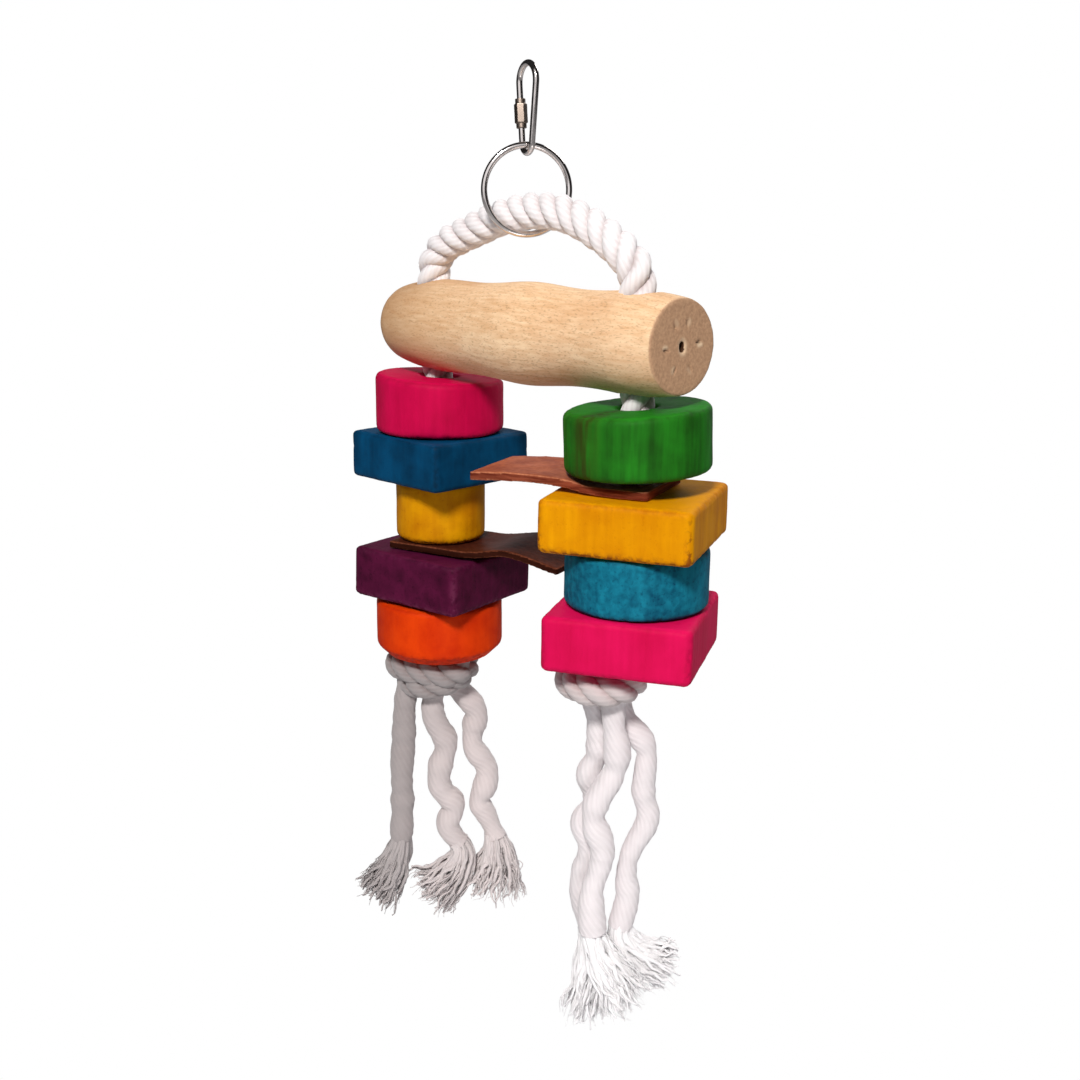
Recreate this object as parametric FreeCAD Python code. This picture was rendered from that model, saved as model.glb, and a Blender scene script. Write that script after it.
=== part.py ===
# Hanging bird toy: a wooden perch on a rope, with two strings of coloured wooden
# blocks and leather strips, hung from a screw-lock link and a steel ring.
# Millimetres. +Z is up and +X runs along the perch to its sawn end.
# The origin is the inside of the link's top bow, where a hook carries the toy.
import FreeCAD, Part
import math
import os

Vec = FreeCAD.Vector
UP = Vec(0, 0, 1)

# Screw-lock link: a pear of round wire, open on the leg that carries the sleeve
link_wire_dia = 2.3
link_length = 32.2
link_top_width = 14.6
link_foot_width = 9.6
link_turn = -14.0
link_gap = 2.9
link_gap_height = 6.6

# Sleeve nut that closes the link
sleeve_length = 10.0
sleeve_height = 5.2
sleeve_flats = 4.1
sleeve_collar_dia = 3.7
sleeve_collar_length = 1.7
sleeve_clearance = 0.05
sleeve_open_margin = 0.2

# Steel ring that joins the link and the rope
ring_wire_dia = 2.3
ring_outer_dia = 32.95
ring_turn = 58.0
metal_gap = 0.3

# Cotton rope: the arch above the perch and a string down each side
rope_dia = 12.5
string_spacing = 107.7
string_middle = 3.2
rope_seat_gap = 0.5
arch_height = 42.8

# Wooden perch, a smoothed branch
perch_length = 154.6
perch_far_reach = 82.0
perch_radius = 17.9
perch_tilt = 1.0
perch_bore_clearance = 0.6
perch_bore_lean = 4.75
perch_rim = 0.9
perch_end_taper = 2.0
perch_dome_inset = 1.9
pith_width = 2.2
pith_height = 3.6
pith_depth = 5.0
notch_length = 3.0
notch_width = 0.9
notch_depth = 1.2
notch_circle = 16.0

# Coloured blocks, all bored for the rope
block_bore_dia = 14.0
block_bore_chamfer = 0.8
stack_gap = 0.3
left_drop = 20.5
right_drop = 20.2
disc_dia = 50.6
peg_dia = 35.8
disc_edge = 2.2
square_corner = 2.6
square_edge = 1.7

# A slope tilts the sawn top, a lean tilts the whole block on the rope, seen from the tails' side.
# A drift is how far off its middle a block was drilled.
pink_disc_height = 21.9
pink_disc_slope = -3.2
blue_square_side = 50.9
blue_square_height = 18.6
blue_square_turn = 3.6
yellow_peg_height = 24.2
violet_square_side = 52.0
violet_square_height = 20.2
violet_square_turn = 12.8
violet_square_lean = -1.4
violet_square_drift = 0.8
orange_disc_dia = 51.6
orange_disc_height = 23.4
orange_disc_chamfer = 4.0
orange_disc_drift = -0.9

green_disc_height = 21.9
green_disc_slope = 2.2
green_disc_lean = 2.6
green_disc_lift = 2.1
yellow_square_side = 53.6
yellow_square_height = 18.6
yellow_square_turn = 27.1
teal_disc_height = 21.2
teal_disc_drift = 1.0
pink_square_side = 52.4
pink_square_height = 19.7
pink_square_turn = 29.9

# Leather strips, each on one string with its long end towards the other string
strip_width = 34.5
strip_corner = 1.5
upper_strip_thick = 3.2
upper_strip_tail = 10.5
upper_strip_turn = 202.0
upper_strip_tip_slope = -0.1
lower_strip_thick = 2.9
lower_strip_tail = 14.4
lower_strip_turn = 20.0
lower_strip_tip_slope = -0.2

# Each strip's wave out to its free end: how far from the string, and how high
upper_strip_wave = [(7.5, 0.0), (18.5, 1.35), (27.0, 1.95), (37.0, 1.9), (56.0, 0.6)]
lower_strip_wave = [(19.0, 0.0), (36.7, 2.6), (61.5, -1.4)]

# Knots, unlaid strands and frayed tips
knot_dia = 37.0
knot_height = 18.5
knot_turn_dia = 11.4
knot_upper_tilt = 9.0
knot_lower_tilt = -12.0
knot_shift = 3.2
strand_dia = 8.8
tail_facing = 47.25
fray_overlap = 1.0
fray_core_share = 0.5
fray_core_spread = 0.62
yarn_count = 9
yarn_root_dia = 3.6
yarn_tip_dia = 2.2
yarn_shortest = 0.82
golden_angle = 137.5

# Places that follow from the sizes above
link_r = link_wire_dia / 2
ring_r = ring_wire_dia / 2
rope_r = rope_dia / 2
bow_top_r = (link_top_width - link_wire_dia) / 2
bow_foot_r = (link_foot_width - link_wire_dia) / 2
bow_top_z = link_r - bow_top_r
link_foot_z = 3 * link_r - link_length
bow_foot_z = link_foot_z + bow_foot_r
sleeve_travel = link_gap_height + link_gap + sleeve_open_margin - sleeve_height
ring_mid_r = (ring_outer_dia - ring_wire_dia) / 2
ring_top_z = link_foot_z + link_r + metal_gap + ring_r
ring_z = ring_top_z - ring_mid_r
ring_foot_z = ring_z - ring_mid_r
rope_over_ring_z = ring_foot_z + ring_r + rope_seat_gap + rope_r
half_span = string_spacing / 2
left_x = string_middle - half_span
right_x = string_middle + half_span


def turned(angle, vector):
    """The vector turned about +Z by the angle in degrees."""
    return FreeCAD.Rotation(UP, angle).multVec(vector)


def tube_path(points, radii=None, share=0.45):
    """Straight runs through the points, joined by tangent arcs. Returns the wire and its radii."""
    edges = []
    used = []
    start = points[0]
    for i in range(1, len(points) - 1):
        a, b, c = points[i - 1], points[i], points[i + 1]
        into = (b - a).normalize()
        away = (c - b).normalize()
        half = into.getAngle(away) / 2
        shorter = min((b - a).Length, (c - b).Length)
        radius = share * shorter / math.tan(half)
        if radii and radii[i - 1]:
            radius = min(radius, radii[i - 1])
        reach = radius * math.tan(half)
        first = b - into * reach
        last = b + away * reach
        inward = (away - into).normalize()
        middle = b + inward * (radius / math.cos(half) - radius)
        edges.append(Part.LineSegment(start, first).toShape())
        edges.append(Part.Arc(first, middle, last).toShape())
        used.append(radius)
        start = last
    edges.append(Part.LineSegment(start, points[-1]).toShape())
    return Part.Wire(edges), used


def tube(wire, diameter):
    """A round bar swept along the wire."""
    edge = wire.OrderedEdges[0]
    start = edge.valueAt(edge.FirstParameter)
    along = edge.tangentAt(edge.FirstParameter)
    circle = Part.Wire([Part.Circle(start, along, diameter / 2).toShape()])
    return wire.makePipeShell([circle], True, False)


def cord(name, points, diameter, radii=None):
    """A cord's tube, with its bend radii and its volume against section times length."""
    wire, used = tube_path(points, radii)
    solid = tube(wire, diameter)
    ideal = math.pi * diameter ** 2 / 4 * wire.Length
    tightest = min(used)
    print(f"{name}: length {wire.Length:.1f}, tightest radius {tightest:.1f},",
          "radii", [round(r, 1) for r in used], f"volume ratio {solid.Volume / ideal:.4f}")
    return solid


def link_side(side):
    """Where the straight leg on one side meets the top and foot bows, in the link's own plane."""
    span = bow_top_z - bow_foot_z
    sine = (bow_top_r - bow_foot_r) / span
    normal = Vec(side * math.sqrt(1 - sine ** 2), 0, -sine)
    top = Vec(0, 0, bow_top_z) + normal * bow_top_r
    foot = Vec(0, 0, bow_foot_z) + normal * bow_foot_r
    return top, foot


leg_top, leg_foot = link_side(-1)
leg_along = (leg_top - leg_foot).normalize()


def quick_link():
    """One wire from the gap up the sleeve's leg, over the top bow and back round the foot bow."""
    other_top, other_foot = link_side(1)
    gap_top = leg_foot + leg_along * (link_gap_height + link_gap)
    gap_foot = leg_foot + leg_along * link_gap_height
    crown = Vec(0, 0, bow_top_z + bow_top_r)
    base = Vec(0, 0, bow_foot_z - bow_foot_r)
    wire = Part.Wire([
        Part.LineSegment(gap_top, leg_top).toShape(),
        Part.Arc(leg_top, crown, other_top).toShape(),
        Part.LineSegment(other_top, other_foot).toShape(),
        Part.Arc(other_foot, base, leg_foot).toShape(),
        Part.LineSegment(leg_foot, gap_foot).toShape()])
    solid = tube(wire, link_wire_dia)
    solid.rotate(Vec(0, 0, 0), UP, link_turn)
    return solid


def hexagon_bar(across_flats, length):
    """A hexagonal bar along +Z from the origin, with its corners turned down at both ends."""
    corner_r = across_flats / math.sqrt(3)
    corners = [turned(60 * i, Vec(corner_r, 0, 0)) for i in range(7)]
    bar = Part.Face(Part.makePolygon(corners)).extrude(UP * length)
    slope = (corner_r - across_flats / 2) / 2
    profile = Part.makePolygon([
        Vec(0, 0, 0), Vec(across_flats / 2, 0, 0), Vec(corner_r, 0, slope),
        Vec(corner_r, 0, length - slope), Vec(across_flats / 2, 0, length),
        Vec(0, 0, length), Vec(0, 0, 0)])
    return bar.common(Part.Face(profile).revolve(Vec(0, 0, 0), UP, 360))


def link_sleeve():
    """The sleeve nut: a hexagonal body between two round collars, bored to slide on the leg."""
    body_length = sleeve_length - 2 * sleeve_collar_length
    body = hexagon_bar(sleeve_flats, body_length)
    body.translate(UP * sleeve_collar_length)
    collars = Part.makeCylinder(sleeve_collar_dia / 2, sleeve_length)
    bore = Part.makeCylinder(link_r + sleeve_clearance, sleeve_length)
    solid = body.fuse(collars).cut(bore).removeSplitter()
    solid.Placement = FreeCAD.Placement(leg_foot + leg_along * sleeve_height,
                                        FreeCAD.Rotation(UP, leg_along))
    solid.rotate(Vec(0, 0, 0), UP, link_turn)
    return solid


def steel_ring():
    """The welded ring, standing on its edge and turned from the perch's line."""
    normal = turned(ring_turn, Vec(0, 1, 0))
    return Part.makeTorus(ring_mid_r, ring_r, Vec(0, 0, ring_z), normal)


# The arch's points: a share of half the string spacing, and of the arch's height over the perch
arch_shares = [(-0.94, 0.70), (-0.631, 0.818), (-0.223, 0.986), (0.223, 1.023),
               (0.576, 0.893), (0.882, 0.683)]
arch_foot_left = 0.484
arch_foot_right = 0.484
bore_bend_radius = 40.0


def arch_level(share):
    """The arch's height over the perch where it crosses the given share of the half span."""
    (u0, v0), (u1, v1) = arch_shares[2], arch_shares[3]
    return arch_height * (v0 + (v1 - v0) * (share - u0) / (u1 - u0))


perch_z = rope_over_ring_z - arch_level(-string_middle / half_span)


def string_tops():
    """Where each string's stack of blocks starts."""
    return perch_z - left_drop, perch_z - right_drop


def perch_profile():
    """Half outline of the branch: its rounded far end, its gentle swells and its sawn end."""
    waves = [(-60, -0.7), (-50, 0.0), (-38, -0.2), (-26, -0.4), (-12, 0.3), (2, 0.9), (13, 0.1),
             (25, -0.8), (36, -0.9), (45, -0.5), (53, 0.0), (62, -0.6), (69.5, -1.5)]
    near = perch_length - perch_far_reach
    dome = perch_radius - perch_dome_inset
    pole = Vec(-perch_far_reach, 0, 0)
    lift = math.radians(77)
    centre = pole + Vec(dome, 0, 0)
    half = centre + Vec(-math.cos(lift / 2), 0, math.sin(lift / 2)) * dome
    shoulder = centre + Vec(-math.cos(lift), 0, math.sin(lift)) * dome
    points = [shoulder] + [Vec(x, 0, perch_radius + wave) for x, wave in waves]
    points.append(Vec(near, 0, perch_radius - perch_end_taper))
    swell = Part.BSplineCurve()
    swell.interpolate(points)
    end = points[-1]
    axis_end = Vec(near, 0, 0)
    return Part.Face(Part.Wire([
        Part.Arc(pole, half, shoulder).toShape(), swell.toShape(),
        Part.LineSegment(end, axis_end).toShape(), Part.LineSegment(axis_end, pole).toShape()]))


def perch():
    """The branch with its pith hole, the small radial checks around it and two rope bores."""
    solid = perch_profile().revolve(Vec(0, 0, 0), Vec(1, 0, 0), 360)
    near = perch_length - perch_far_reach
    rim = [e for e in solid.Edges
           if abs(e.BoundBox.XMin - near) < 0.01 and abs(e.BoundBox.XMax - near) < 0.01]
    solid = solid.makeFillet(perch_rim, rim)
    pith = Part.makeBox(pith_depth * 2, pith_width, pith_height,
                        Vec(near - pith_depth, -pith_width / 2, -pith_height / 2))
    solid = solid.cut(pith.makeFillet(pith_width * 0.45, [
        e for e in pith.Edges if abs(e.BoundBox.XLength - 2 * pith_depth) < 0.01]))
    for angle in (8, 75, 118, 185, 245, 300):
        notch = Part.makeBox(notch_depth * 2, notch_length, notch_width,
                             Vec(near - notch_depth, notch_circle / 2 - notch_length / 2,
                                 -notch_width / 2))
        notch.rotate(Vec(near, 0, 0), Vec(1, 0, 0), angle)
        solid = solid.cut(notch)
    solid.rotate(Vec(0, 0, 0), Vec(0, 1, 0), -perch_tilt)
    solid.translate(Vec(string_middle, 0, perch_z))
    bore_r = rope_r + perch_bore_clearance
    for foot, head in bore_lines():
        along = (head - foot).normalize()
        reach = 3 * perch_radius
        solid = solid.cut(Part.makeCylinder(bore_r, 2 * reach, (foot + head) / 2 - along * reach, along))
    return solid


def bore_lines():
    """The two rope bores' centre lines through the perch, the left one leaning outwards."""
    low = perch_z - perch_radius
    high = perch_z + arch_foot_left * arch_height
    left = (Vec(left_x, 0, low), Vec(left_x - perch_bore_lean, 0, high))
    right = (Vec(right_x, 0, low), Vec(right_x, 0, perch_z + arch_foot_right * arch_height))
    return left, right


def rope_route(left_knot_z, right_knot_z):
    """From the left knot up through the perch, over the arch and down to the right knot."""
    left, right = bore_lines()
    arch = [Vec(string_middle + u * half_span, 0, perch_z + v * arch_height)
            for u, v in arch_shares]
    points = [Vec(left_x, 0, left_knot_z), left[0], left[1]] + arch
    return points + [right[1], Vec(right_x, 0, right_knot_z)]


def rope(left_knot_z, right_knot_z):
    """The rope held all the way, with a slight bend where it enters the leaning bore."""
    points = rope_route(left_knot_z, right_knot_z)
    radii = [bore_bend_radius] + [None] * (len(points) - 3)
    return cord("rope", points, rope_dia, radii)


def level_edges(shape, z):
    """The outside edges of a shape that lie at height z."""
    return [e for e in shape.Edges
            if abs(e.BoundBox.ZMin - z) < 0.01 and abs(e.BoundBox.ZMax - z) < 0.01]


def seen_across(distance):
    """A shift to the right as seen from the side that the tails face."""
    return turned(tail_facing, Vec(distance, 0, 0))


def tilted(solid, centre, angle):
    """The solid with its right side raised by the angle, as seen from the side that the tails face."""
    solid.rotate(centre, turned(tail_facing, Vec(0, -1, 0)), angle)
    return solid


def bored(block, height):
    """The block with its rope hole, slightly countersunk where the drill broke through."""
    bore_r = block_bore_dia / 2
    hole = Part.makeCylinder(bore_r, height + 2, Vec(0, 0, -1))
    wide = bore_r + block_bore_chamfer
    cone = Part.makeCone(wide, bore_r, block_bore_chamfer)
    top = Part.makeCone(bore_r, wide, block_bore_chamfer, Vec(0, 0, height - block_bore_chamfer))
    return block.cut(hole.fuse([cone, top]))


def disc(dia, height, foot_chamfer=None, slope=0.0, drift=0.0):
    """A sawn round with softened edges. Its height is at the middle where its top slopes."""
    block = Part.makeCylinder(dia / 2, height + dia / 2)
    waste = Part.makeBox(2 * dia, 2 * dia, dia, Vec(-dia, -dia, height))
    block = block.cut(tilted(waste, Vec(0, 0, height), slope))
    rim = [e for e in block.Edges if e.CenterOfMass.z > height / 2 and e.Length > dia]
    block = block.makeFillet(disc_edge, rim)
    if foot_chamfer:
        block = block.makeChamfer(foot_chamfer, level_edges(block, 0))
    else:
        block = block.makeFillet(disc_edge, level_edges(block, 0))
    block.translate(seen_across(drift))
    return bored(block, height)


def square(side, height, turn, drift=0.0):
    """A sawn square with rounded corners and softened edges, turned about the rope."""
    block = Part.makeBox(side, side, height, Vec(-side / 2, -side / 2, 0))
    uprights = [e for e in block.Edges if abs(e.BoundBox.ZLength - height) < 0.01]
    block = block.makeFillet(square_corner, uprights)
    block = block.makeFillet(square_edge, level_edges(block, 0) + level_edges(block, height))
    block.rotate(Vec(0, 0, 0), UP, turn)
    block.translate(seen_across(drift))
    return bored(block, height)


def strip(thick, tail, turn, wave, tip_slope):
    """A leather strip: flat from its tail to past the rope, then a low wave out to its free end."""
    points = [(-tail, 0.0)] + wave
    last = len(wave)
    sides = []
    for level in (thick, 0.0):
        curve = Part.BSplineCurve()
        curve.interpolate([Vec(x, 0, z + level) for x, z in wave],
                          InitialTangent=Vec(1, 0, 0), FinalTangent=Vec(1, 0, tip_slope))
        sides.append(curve.toShape())
    top, foot = sides

    def at(i, level):
        x, z = points[i]
        return Vec(x, 0, z + level)

    outline = Part.Wire([
        Part.LineSegment(at(0, thick), at(1, thick)).toShape(), top,
        Part.LineSegment(at(last, thick), at(last, 0)).toShape(), foot,
        Part.LineSegment(at(1, 0), at(0, 0)).toShape(),
        Part.LineSegment(at(0, 0), at(0, thick)).toShape()])
    solid = Part.Face(outline).extrude(Vec(0, strip_width, 0))
    solid.translate(Vec(0, -strip_width / 2, 0))
    uprights = [e for e in solid.Edges if e.BoundBox.XLength < 0.01 and e.BoundBox.YLength < 0.01]
    solid = solid.makeFillet(strip_corner, uprights)
    hole = Part.makeCylinder(block_bore_dia / 2, 4 * thick, Vec(0, 0, -thick))
    solid = solid.cut(hole)
    solid.rotate(Vec(0, 0, 0), UP, turn)
    return solid


# Each string from the top down: node, solid, height, and how it leans and lifts on the rope
left_stack = [
    ("left_pink_disc", disc(disc_dia, pink_disc_height, slope=pink_disc_slope),
     pink_disc_height, 0.0, 0.0),
    ("left_blue_square", square(blue_square_side, blue_square_height, blue_square_turn),
     blue_square_height, 0.0, 0.0),
    ("left_yellow_peg", disc(peg_dia, yellow_peg_height), yellow_peg_height, 0.0, 0.0),
    ("lower_leather_strip", strip(lower_strip_thick, lower_strip_tail, lower_strip_turn,
                                  lower_strip_wave, lower_strip_tip_slope),
     lower_strip_thick, 0.0, 0.0),
    ("left_violet_square", square(violet_square_side, violet_square_height, violet_square_turn,
                                  violet_square_drift),
     violet_square_height, violet_square_lean, 0.0),
    ("left_orange_disc", disc(orange_disc_dia, orange_disc_height, orange_disc_chamfer,
                              drift=orange_disc_drift),
     orange_disc_height, 0.0, 0.0)]
right_stack = [
    ("right_green_disc", disc(disc_dia, green_disc_height, slope=green_disc_slope),
     green_disc_height, green_disc_lean, green_disc_lift),
    ("upper_leather_strip", strip(upper_strip_thick, upper_strip_tail, upper_strip_turn,
                                  upper_strip_wave, upper_strip_tip_slope),
     upper_strip_thick, 0.0, 0.0),
    ("right_yellow_square", square(yellow_square_side, yellow_square_height, yellow_square_turn),
     yellow_square_height, 0.0, 0.0),
    ("right_teal_disc", disc(disc_dia, teal_disc_height, drift=teal_disc_drift),
     teal_disc_height, 0.0, 0.0),
    ("right_pink_square", square(pink_square_side, pink_square_height, pink_square_turn),
     pink_square_height, 0.0, 0.0)]


def thread_on(stack, x, top_z):
    """Set a string's pieces one under another. Returns the places and the height left below."""
    placed = {}
    z = top_z
    for node, solid, height, lean, lift in stack:
        sag = (disc_dia / 2 - disc_edge) * math.sin(math.radians(abs(lean)))
        if node != stack[0][0]:
            z -= sag
        z -= height
        solid.translate(Vec(x, 0, z))
        placed[node] = tilted(solid, Vec(x, 0, z + height / 2), lean)
        z -= stack_gap + sag + lift
    return placed, z


def tail_point(x, knot_z, side, front, drop):
    """A point of a tail, across and towards the viewer's side and down from the knot's top."""
    across = turned(tail_facing, Vec(1, 0, 0))
    near = turned(tail_facing, Vec(0, -1, 0))
    return Vec(x, 0, knot_z - drop) + across * side + near * front


def knot(x, top_z):
    """The overhand knot: the rope's core with an upper and a lower turn pulled tight round it."""
    turn_r = knot_turn_dia / 2
    round_r = (knot_dia - knot_turn_dia) / 2
    drift = turned(tail_facing, Vec(-knot_shift, 0, 0))
    core = Part.makeCylinder(rope_r, knot_height, Vec(x, 0, top_z - knot_height))
    solid = core
    for tilt, level in ((knot_upper_tilt, 0.42), (knot_lower_tilt, 0.60)):
        turn = Part.makeTorus(round_r, turn_r, Vec(0, 0, 0), UP)
        turn.rotate(Vec(0, 0, 0), turned(tail_facing, Vec(0, 1, 0)), tilt)
        turn.translate(Vec(x, 0, top_z - level * knot_height) + drift * (2 * level))
        solid = solid.fuse(turn)
    filler = Part.makeCylinder(round_r, knot_height * 0.35,
                               Vec(x, 0, top_z - knot_height * 0.7) + drift)
    return solid.fuse(filler)


def fray(points, start_dia, end_dia):
    """A strand's unravelled tip: a short core that opens into a brush of tapering yarns."""
    start, end = points
    length = (end - start).Length
    brush_r = (end_dia - yarn_tip_dia) / 2
    core_end_dia = start_dia + (end_dia - start_dia) * fray_core_share * fray_core_spread
    core = Part.makeCone(start_dia / 2, core_end_dia / 2, length * fray_core_share)
    yarns = []
    for i in range(yarn_count):
        away = math.sqrt((i + 0.5) / yarn_count)
        outward = turned(golden_angle * i, Vec(1, 0, 0))
        share = 1 - (1 - yarn_shortest) * (i * 7 % yarn_count) / yarn_count
        root = outward * (away * (start_dia - yarn_root_dia) / 2)
        tip = outward * (away * brush_r) + UP * length
        reach = (tip - root) * share
        along = Vec(reach.x, reach.y, reach.z).normalize()
        yarns.append(Part.makeCone(yarn_root_dia / 2, yarn_tip_dia / 2, reach.Length, root, along))
    solid = core.fuse(yarns)
    solid.Placement = FreeCAD.Placement(start, FreeCAD.Rotation(UP, (end - start).normalize()))
    return solid


# Each strand's route: across, towards the viewer's side, down from its knot's top
left_strands = {
    "left_strand_a": [(-11.8, 1.5, 11.0), (-15.4, 2.5, 23.5), (-16.3, 1.2, 39.0),
                      (-17.6, 2.3, 54.5), (-17.2, 1.0, 70.5), (-18.2, 2.0, 86.0)],
    "left_strand_b": [(-2.8, 3.2, 12.5), (-4.4, 3.6, 22.5), (-3.2, 2.4, 32.0), (2.6, 1.6, 41.0),
                      (-1.6, 2.6, 52.5), (-1.8, 1.8, 62.5), (5.6, 1.0, 71.0),
                      (1.2, 1.8, 81.5), (4.6, 1.0, 90.0)],
    "left_strand_c": [(3.6, -3.0, 12.5), (10.6, -3.4, 19.5), (15.0, -2.6, 27.0),
                      (12.6, -3.2, 36.5), (12.0, -2.2, 45.0), (19.2, -3.0, 54.0),
                      (18.2, -2.0, 62.5), (14.2, -2.8, 70.5), (17.2, -3.6, 79.0),
                      (20.6, -3.0, 87.0)]}
right_strands = {
    "right_strand_a": [(-6.4, 4.6, 12.3), (-6.2, 5.0, 23.3), (-3.2, 4.6, 32.8),
                       (-2.8, 4.2, 42.3), (-12.4, 4.8, 52.8), (-12.6, 4.4, 62.3),
                       (-6.6, 4.8, 72.3), (-8.4, 4.2, 81.3), (-14.6, 4.8, 90.3),
                       (-11.8, 4.4, 105.8)],
    "right_strand_b": [(-14.2, -3.6, 12.3), (-12.2, -4.2, 23.8), (-14.0, -3.8, 34.3),
                       (-16.6, -4.4, 46.8), (-14.8, -4.0, 55.3), (-18.4, -4.6, 66.8),
                       (-11.8, -4.2, 76.8), (-17.4, -4.6, 89.8), (-14.4, -4.2, 104.8)],
    "right_strand_c": [(-2.6, -5.4, 12.3), (0.0, -4.8, 23.3), (7.6, -4.2, 32.3),
                       (6.6, -3.6, 44.8), (5.8, -4.4, 54.8), (9.4, -3.8, 64.3),
                       (1.4, -3.4, 76.8), (-0.8, -4.2, 88.3), (-0.6, -3.8, 96.8),
                       (-4.6, -3.2, 108.3)]}
# Each frayed tip: where it points, across, towards the viewer's side and down, and its brush width
fray_tips = {
    "left_fray_a": (-27.5, 3.0, 118.5, 17.0),
    "left_fray_b": (-5.5, 4.0, 118.8, 22.0),
    "left_fray_c": (22.0, -4.5, 118.0, 24.0),
    "right_fray_a": (4.0, 7.0, 134.0, 21.0),
    "right_fray_b": (-13.6, -5.0, 148.0, 17.0),
    "right_fray_c": (19.0, -4.6, 126.3, 18.0)}


def tails(x, knot_z, strands):
    """The three unlaid strands below a knot, each with its frayed tip."""
    made = {}
    for node, route in strands.items():
        points = [tail_point(x, knot_z, *p) for p in route]
        made[node] = cord(node, points, strand_dia)
        tip_node = node.replace("strand", "fray")
        side, front, drop, width = fray_tips[tip_node]
        tip = tail_point(x, knot_z, side, front, drop)
        along = (points[-1] - points[-2]).normalize()
        start = points[-1] - along * fray_overlap
        made[tip_node] = fray((start, tip), strand_dia, width)
    return made


left_top, right_top = string_tops()
left_blocks, left_knot_z = thread_on(left_stack, left_x, left_top)
right_blocks, right_knot_z = thread_on(right_stack, right_x, right_top)
nodes = {
    "quick_link": quick_link(), "link_sleeve": link_sleeve(), "steel_ring": steel_ring(),
    "rope": rope(left_knot_z, right_knot_z), "wood_perch": perch(),
    "left_knot": knot(left_x, left_knot_z), "right_knot": knot(right_x, right_knot_z)}
nodes.update(left_blocks)
nodes.update(right_blocks)
nodes.update(tails(left_x, left_knot_z, left_strands))
nodes.update(tails(right_x, right_knot_z, right_strands))

os.makedirs("parts", exist_ok=True)
for node, shape in nodes.items():
    box = shape.BoundBox
    solid_count = len(shape.Solids)
    print(f"{node}: solids {solid_count}, valid {shape.isValid()}, volume {shape.Volume:.0f},",
          f"x {box.XMin:.1f} to {box.XMax:.1f}, y {box.YMin:.1f} to {box.YMax:.1f},",
          f"z {box.ZMin:.1f} to {box.ZMax:.1f}")
    shape.exportStep("parts/" + node + ".step")
print(f"perch axis z {perch_z:.2f}, ring z {ring_z:.2f}, ring foot z {ring_foot_z:.2f}")
print(f"strings at x {left_x:.2f} and {right_x:.2f}, knots from z {left_knot_z:.2f} and {right_knot_z:.2f}")
print(f"sleeve opens the link after {sleeve_travel:.2f} along", turned(link_turn, leg_along))
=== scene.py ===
# %% [markdown]
# # A hanging toy of wood, rope, leather and steel
# A branch hangs on a cotton rope. Below each end of it a string of dyed blocks is threaded on the same
# rope, with a leather strip between two of them, and the rope ends in a knot and three frayed strands.
# The construction comes first, as a fixed frame of plain solids. Everything here dresses those solids:
# soft things get a shape of their own, hard things get their edges, their grain and their finish.

# %% Load the fixed frame
import math

import bpy
import numpy as np
from mathutils import Euler, Matrix, Vector
from mathutils import noise as perlin


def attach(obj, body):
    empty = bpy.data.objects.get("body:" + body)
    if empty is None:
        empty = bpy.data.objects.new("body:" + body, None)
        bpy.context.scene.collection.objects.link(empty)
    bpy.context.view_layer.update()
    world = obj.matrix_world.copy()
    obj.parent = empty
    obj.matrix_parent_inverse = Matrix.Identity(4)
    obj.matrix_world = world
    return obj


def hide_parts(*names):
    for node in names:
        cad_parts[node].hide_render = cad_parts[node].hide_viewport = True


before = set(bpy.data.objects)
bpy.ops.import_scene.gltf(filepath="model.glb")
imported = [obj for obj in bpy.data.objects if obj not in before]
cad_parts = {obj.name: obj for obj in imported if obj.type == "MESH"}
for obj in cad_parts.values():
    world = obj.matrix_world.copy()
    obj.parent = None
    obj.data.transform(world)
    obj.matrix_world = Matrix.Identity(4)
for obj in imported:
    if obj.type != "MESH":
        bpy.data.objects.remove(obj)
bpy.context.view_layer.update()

MM = 0.001
print("pieces in the frame:", len(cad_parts))

# %% [markdown]
# ## Small helpers for node trees
# Shapes that repeat and finishes that vary are both made of nodes. A node is always made the same way:
# choose its kind, set its options, then give each input a number or link it from another node. One helper
# does that. The others write sums, noise and blends the way one would say them.

# %% Node helpers
def put(tree, kind, values=None, **settings):
    """A new node with its settings. Each input gets a value, or a link where the value is a socket."""
    node = tree.nodes.new(kind)
    for setting, value in settings.items():
        setattr(node, setting, value)
    for key, value in (values or {}).items():
        if isinstance(value, bpy.types.NodeSocket):
            tree.links.new(value, node.inputs[key])
        else:
            node.inputs[key].default_value = value
    return node


def calc(tree, operation, *terms):
    """The result of a sum on numbers."""
    return put(tree, "ShaderNodeMath", dict(enumerate(terms)), operation=operation).outputs[0]


def plus(tree, first, second):
    return calc(tree, "ADD", first, second)


def minus(tree, first, second):
    return calc(tree, "SUBTRACT", first, second)


def times(tree, first, second):
    return calc(tree, "MULTIPLY", first, second)


def over(tree, first, second):
    return calc(tree, "DIVIDE", first, second)


def sway(tree, value, amount):
    """How far the value is from a half, times the amount."""
    return times(tree, minus(tree, value, 0.5), amount)


def between(tree, value, low, high, new_low=0.0, new_high=1.0):
    """The value moved from one range to another, held at the ends."""
    spread = {"Value": value, "From Min": low, "From Max": high, "To Min": new_low, "To Max": new_high}
    return put(tree, "ShaderNodeMapRange", spread).outputs[0]


def aim(tree, operation, *terms):
    """The result of a sum on vectors."""
    return put(tree, "ShaderNodeVectorMath", dict(enumerate(terms)), operation=operation).outputs[0]


def stretch(tree, arrow, factor):
    """A vector times a number."""
    return put(tree, "ShaderNodeVectorMath", {0: arrow, "Scale": factor}, operation="SCALE").outputs[0]


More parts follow.
